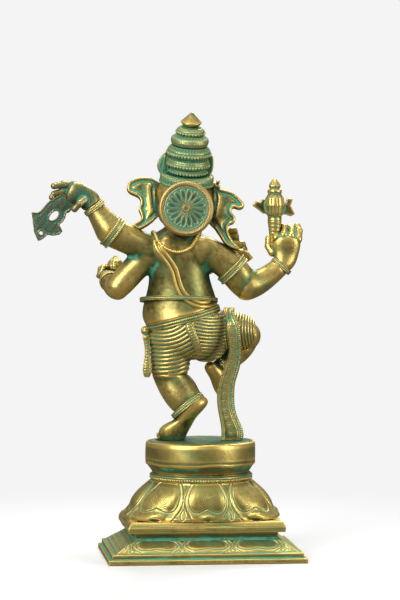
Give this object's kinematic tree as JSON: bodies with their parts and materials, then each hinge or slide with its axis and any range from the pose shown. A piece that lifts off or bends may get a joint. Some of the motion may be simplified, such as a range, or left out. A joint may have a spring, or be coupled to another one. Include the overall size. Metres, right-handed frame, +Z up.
{
  "type": "dancing elephant-headed deity statue",
  "caption": "Brass statue of a four-armed elephant-headed figure dancing on one foot, with tall tiered crown, on a drum, lotus cushion and stepped plinth",
  "frame": {"origin": "centre of the flat rim the hollow plinth stands on", "axes": "+Z up; +Y the way the figure faces; +X the figure's own right side"},
  "size_m": [0.3127, 0.172, 0.5087],
  "materials": {
    "base_brass": "aged cast brass, dark hollows and green patina in the engraving",
    "body_brass": "aged cast brass, rubbed bright on the high places",
    "cloth_brass": "aged cast brass, pleats with green patina between them",
    "ornament_brass": "aged cast brass with heavy green patina round beads and ridges",
    "attribute_brass": "aged cast brass, greener than the body"
  },
  "bodies": {
    "root": {"axe": "attribute_brass", "base_slab": "base_brass", "bead_ring": "base_brass", "belly_band": "ornament_brass", "broken_tusk": "attribute_brass", "crown_band": "ornament_brass", "crown_finial": "ornament_brass", "crown_lower_tiers": "ornament_brass", "crown_upper_tiers": "ornament_brass", "drum": "base_brass", "foot_peg": "base_brass", "front_drape": "cloth_brass", "front_left_bracelet": "ornament_brass", "front_left_forearm": "body_brass", "front_left_hand": "body_brass", "front_left_upper_arm": "body_brass", "front_right_forearm": "body_brass", "front_right_hand": "body_brass", "front_right_upper_arm": "body_brass", "halo_disc": "ornament_brass", "head": "body_brass", "hip_ribbon": "cloth_brass", "hips": "cloth_brass", "left_anklet": "ornament_brass", "left_crown_petal": "ornament_brass", "left_ear": "body_brass", "left_foot": "body_brass", "left_shin": "body_brass", "left_thigh": "cloth_brass", "left_tusk": "body_brass", "lotus_cushion": "base_brass", "necklace": "ornament_brass", "noose": "attribute_brass", "plinth": "base_brass", "rear_left_armlet": "ornament_brass", "rear_left_bracelet": "ornament_brass", "rear_left_forearm": "body_brass", "rear_left_hand": "body_brass", "rear_left_upper_arm": "body_brass", "rear_right_armlet": "ornament_brass", "rear_right_bracelet": "ornament_brass", "rear_right_forearm": "body_brass", "rear_right_hand": "body_brass", "rear_right_upper_arm": "body_brass", "right_anklet": "ornament_brass", "right_crown_petal": "ornament_brass", "right_ear": "body_brass", "right_foot": "body_brass", "right_shin": "body_brass", "right_thigh": "cloth_brass", "right_tusk_stub": "body_brass", "sacred_thread": "ornament_brass", "sash_peg": "base_brass", "seat_strap": "cloth_brass", "side_sash": "cloth_brass", "sweet": "attribute_brass", "torso": "body_brass", "trunk": "body_brass", "waist_belt": "ornament_brass"}
  },
  "joints": []
}
